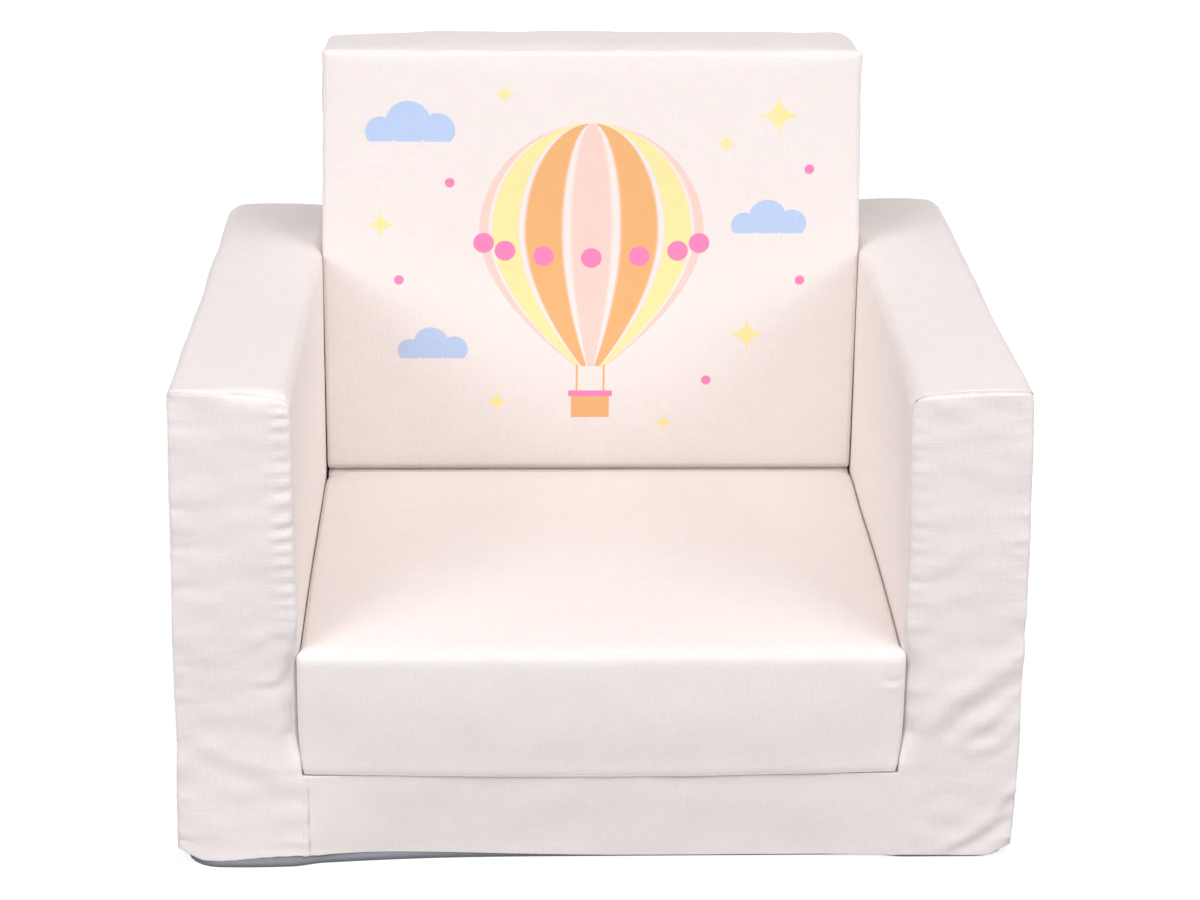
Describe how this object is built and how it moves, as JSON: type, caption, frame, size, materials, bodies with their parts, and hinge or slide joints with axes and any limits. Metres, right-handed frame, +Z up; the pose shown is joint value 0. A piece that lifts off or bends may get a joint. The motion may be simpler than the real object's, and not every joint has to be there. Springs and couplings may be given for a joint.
{
  "type": "childrens armchair",
  "caption": "Small block-foam armchair in pale sewn cloth covers; the seat slab flips forward and the back slab folds out into a flat mattress.",
  "frame": {"origin": "centre of the underside, on the floor", "axes": "+Z up, the chair faces -Y, +X is towards the right arm as the picture shows it"},
  "size_m": [0.53, 0.4213, 0.4604],
  "materials": {
    "cover_cloth": "matte",
    "printed_cloth": "matte",
    "grey_nonwoven": "matte",
    "hinge_cloth": "matte",
    "foam": "matte",
    "zip_plastic": "satin",
    "zip_slider_metal": "satin"
  },
  "bodies": {
    "frame": {"base_foam": "foam", "left_arm_foam": "foam", "right_arm_foam": "foam", "rear_wall_foam": "foam", "left_arm_cover": "cover_cloth", "right_arm_cover": "cover_cloth", "left_arm_front_panel": "cover_cloth", "right_arm_front_panel": "cover_cloth", "base_front_panel": "cover_cloth", "base_top_panel": "cover_cloth", "rear_wall_cover": "cover_cloth", "frame_back_panel": "cover_cloth", "bottom_panel": "grey_nonwoven", "frame_zip": "zip_plastic", "frame_zip_slider": "zip_slider_metal", "flip_flap_lower": "hinge_cloth"},
    "seat_slab": {"seat_foam": "foam", "seat_top_panel": "cover_cloth", "seat_side_band": "cover_cloth", "seat_bottom_panel": "cover_cloth", "seat_zip": "zip_plastic", "seat_zip_slider": "zip_slider_metal", "flip_flap_upper": "hinge_cloth", "fold_tape_seat": "hinge_cloth"},
    "back_slab": {"back_foam": "foam", "back_front_panel": "printed_cloth", "back_side_band": "cover_cloth", "back_rear_panel": "cover_cloth", "back_zip": "zip_plastic", "back_zip_slider": "zip_slider_metal", "fold_tape_back": "hinge_cloth"}
  },
  "joints": [
    {"name": "seat_flip", "type": "hinge", "parent": "frame", "child": "seat_slab", "pos_m": [0, -0.2115, 0.07705], "axis": [1, 0, 0], "range_deg": [0, 180]},
    {"name": "back_fold", "type": "hinge", "parent": "seat_slab", "child": "back_slab", "pos_m": [0, 0.0816, 0.1538], "axis": [1, 0, 0], "range_deg": [-90, 0]}
  ],
  "couplings": [
    {"joint": "back_fold", "follows": "seat_flip", "ratio": -0.5}
  ]
}
